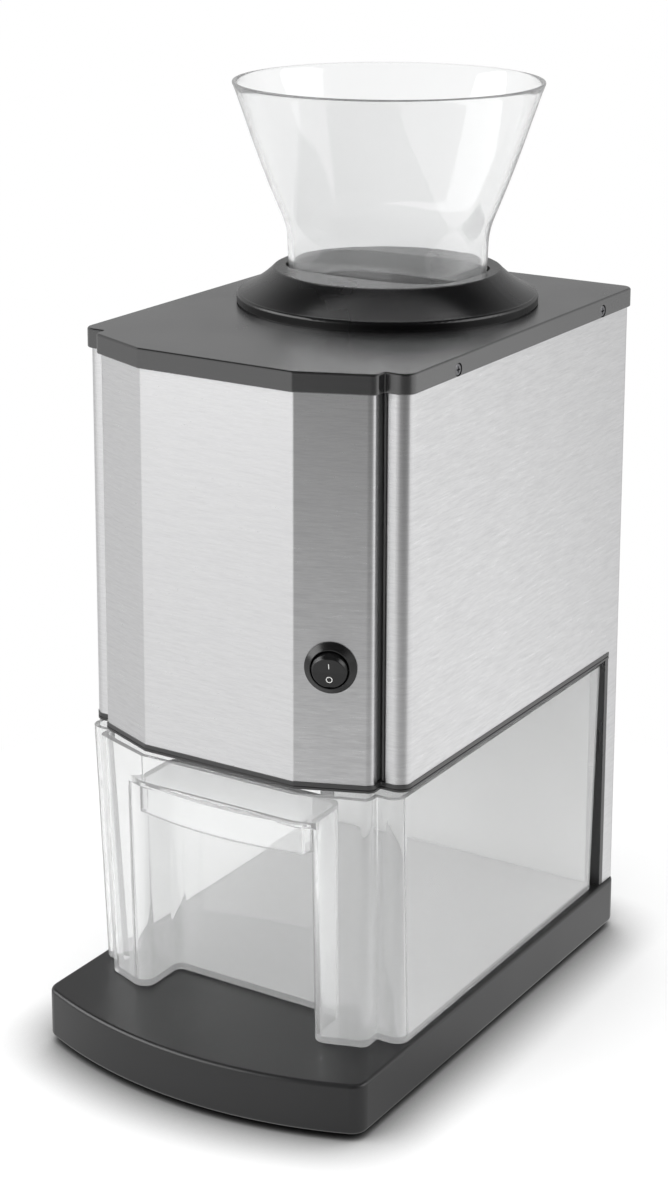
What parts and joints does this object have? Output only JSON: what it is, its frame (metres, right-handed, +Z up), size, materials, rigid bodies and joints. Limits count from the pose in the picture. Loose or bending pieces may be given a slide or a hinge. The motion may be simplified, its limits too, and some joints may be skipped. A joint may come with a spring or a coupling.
{
  "type": "electric ice crusher",
  "caption": "Countertop electric ice crusher with a lift-off clear hopper, brushed steel body, rocker switch, motor-driven blade rotor and a clear slide-out ice drawer.",
  "frame": {"origin": "on the worktop under the middle of the machine", "axes": "+Z up, +Y to the rear, +X to the right seen from the front"},
  "size_m": [0.17, 0.2698, 0.437],
  "materials": {
    "brushed_steel": "brushed along its length",
    "cover_plastic": "satin dark grey moulding",
    "collar_plastic": "satin black moulding",
    "base_plastic": "fine textured dark grey moulding",
    "clear_plastic": "clear moulded plastic",
    "rubber": "matt",
    "switch_plastic": "black",
    "blade_steel": "ground stainless steel",
    "housing_plastic": "light grey moulding",
    "gear_nylon": "natural nylon",
    "bronze": "plain",
    "zinc_steel": "zinc plated",
    "screw_steel": "dark plated",
    "lead_cover": "insulated lead"
  },
  "bodies": {
    "machine": {"base_foot_1": "rubber", "base_foot_2": "rubber", "base_foot_3": "rubber", "base_foot_4": "rubber", "base_plate": "base_plastic", "base_screws": "screw_steel", "base_tray": "base_plastic", "bay_back_wall": "housing_plastic", "bay_trim": "cover_plastic", "body_wrap": "brushed_steel", "case_screws": "screw_steel", "collar_screws": "screw_steel", "comb_screws": "screw_steel", "cord_gland": "switch_plastic", "crusher_housing": "housing_plastic", "deck_frame": "cover_plastic", "discharge_chute": "housing_plastic", "fixed_comb": "blade_steel", "floor_screws": "screw_steel", "front_frame": "cover_plastic", "front_panel": "brushed_steel", "gear_cover": "housing_plastic", "gear_cover_screws": "screw_steel", "gear_plate": "zinc_steel", "gland_nut": "switch_plastic", "hopper_collar": "collar_plastic", "idler_pin": "blade_steel", "interlock_switch": "switch_plastic", "lead_inlet": "lead_cover", "lead_interlock": "lead_cover", "lead_motor": "lead_cover", "lead_return": "lead_cover", "motor_can": "zinc_steel", "motor_cradle": "housing_plastic", "motor_end_cap": "switch_plastic", "motor_magnet_lower": "zinc_steel", "motor_magnet_upper": "zinc_steel", "plate_screws": "screw_steel", "shaft_bush_left": "bronze", "shaft_bush_right": "bronze", "switch_body": "switch_plastic", "switch_terminals": "bronze", "terminal_block": "switch_plastic", "top_cover": "cover_plastic"},
    "drawer": {"drawer": "clear_plastic"},
    "hopper": {"hopper": "clear_plastic"},
    "rotor": {"rotor_shaft": "blade_steel", "shaft_clips": "blade_steel", "rotor_blade_1": "blade_steel", "rotor_blade_2": "blade_steel", "rotor_blade_3": "blade_steel", "rotor_blade_4": "blade_steel", "rotor_blade_5": "blade_steel", "blade_spacers": "blade_steel", "drive_gear": "gear_nylon"},
    "idler": {"idler_gear": "gear_nylon"},
    "motor_rotor": {"motor_armature": "blade_steel", "motor_pinion": "bronze"},
    "rocker": {"switch_rocker": "switch_plastic"},
    "interlock": {"interlock_plunger": "switch_plastic"}
  },
  "joints": [
    {"name": "drawer_slide", "type": "slide", "parent": "machine", "child": "drawer", "axis": [0, -1, 0], "range_m": [0, 0.2]},
    {"name": "hopper_lift", "type": "slide", "parent": "machine", "child": "hopper", "axis": [0, 0, 1], "range_m": [0, 0.12]},
    {"name": "rotor_spin", "type": "hinge", "parent": "machine", "child": "rotor", "pos_m": [0, 0.0431, 0.255], "axis": [1, 0, 0], "continuous": true},
    {"name": "idler_spin", "type": "hinge", "parent": "machine", "child": "idler", "pos_m": [0.06, -0.0086, 0.24588], "axis": [1, 0, 0], "continuous": true},
    {"name": "motor_spin", "type": "hinge", "parent": "machine", "child": "motor_rotor", "pos_m": [0, -0.04338, 0.23657], "axis": [1, 0, 0], "continuous": true},
    {"name": "rocker_tilt", "type": "hinge", "parent": "machine", "child": "rocker", "pos_m": [0.05477, -0.09416, 0.2033], "axis": [-0.9249, -0.3803, 0], "range_deg": [0, 24]},
    {"name": "interlock_press", "type": "slide", "parent": "machine", "child": "interlock", "axis": [0, -1, 0], "range_m": [0, 0.003]}
  ],
  "couplings": [
    {"joint": "idler_spin", "follows": "rotor_spin", "ratio": -4},
    {"joint": "motor_spin", "follows": "rotor_spin", "ratio": 20},
    {"joint": "interlock_press", "follows": "drawer_slide", "ratio": 0.015}
  ]
}
